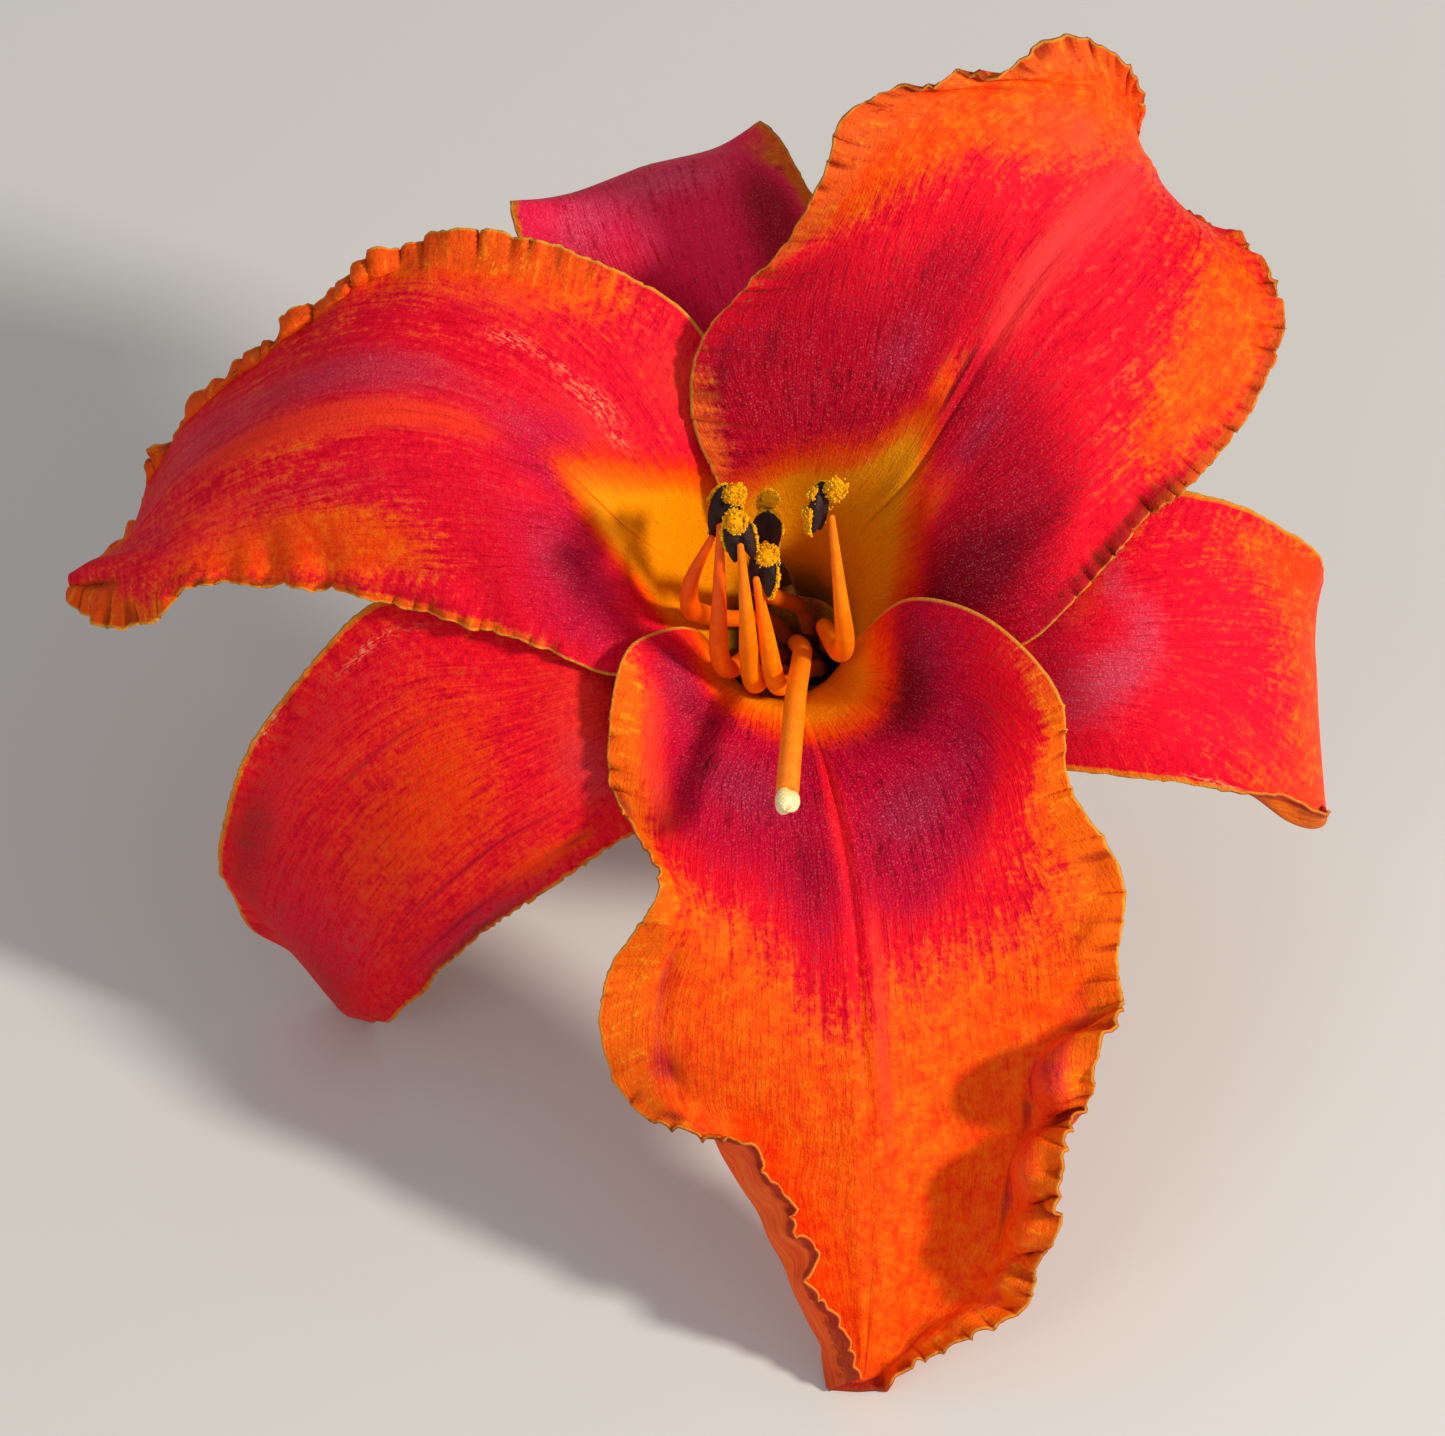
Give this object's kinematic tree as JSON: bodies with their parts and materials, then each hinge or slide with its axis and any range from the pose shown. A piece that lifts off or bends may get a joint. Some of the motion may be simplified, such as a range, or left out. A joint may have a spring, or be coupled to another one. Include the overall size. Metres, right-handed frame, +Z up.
{
  "type": "daylily bloom",
  "caption": "Picked daylily bloom in orange and crimson with frilled petals, a yellow throat, stamens and a style, lying on its back with its face up.",
  "frame": {"origin": "middle of the bounding box, on the surface that the bloom lies on", "axes": "+Z up, +X to the right as the open face is seen; the eye that looks into the throat is at -Y and 45 degrees up, and the lower petal points along -Y"},
  "size_m": [0.1405, 0.1228, 0.1076],
  "materials": {
    "petal_lower": "fresh petal, satin, faintly glistening",
    "petal_left": "fresh petal, satin, faintly glistening",
    "petal_upper": "fresh petal, satin, faintly glistening",
    "sepal_right": "fresh petal, satin",
    "sepal_left": "fresh petal, satin",
    "sepal_top": "fresh petal, satin",
    "tube": "fresh plant tissue, smooth",
    "ovary": "fresh plant tissue, smooth",
    "pedicel": "green stalk, satin",
    "filament": "fresh plant tissue, smooth",
    "anther": "dark and dry",
    "pollen": "powdery grains",
    "style": "fresh plant tissue, smooth",
    "stigma": "pale and velvety"
  },
  "bodies": {
    "root": {"petal_lower": "petal_lower", "petal_left": "petal_left", "petal_upper": "petal_upper", "sepal_right": "sepal_right", "sepal_left": "sepal_left", "sepal_top": "sepal_top", "perianth_tube": "tube", "ovary": "ovary", "pedicel": "pedicel", "filament_1": "filament", "filament_2": "filament", "filament_3": "filament", "filament_4": "filament", "filament_5": "filament", "filament_6": "filament", "anther_1": "anther", "anther_2": "anther", "anther_3": "anther", "anther_4": "anther", "anther_5": "anther", "anther_6": "anther", "pollen_1": "pollen", "pollen_2": "pollen", "pollen_3": "pollen", "pollen_4": "pollen", "pollen_5": "pollen", "pollen_6": "pollen", "style": "style", "stigma": "stigma"}
  },
  "joints": []
}
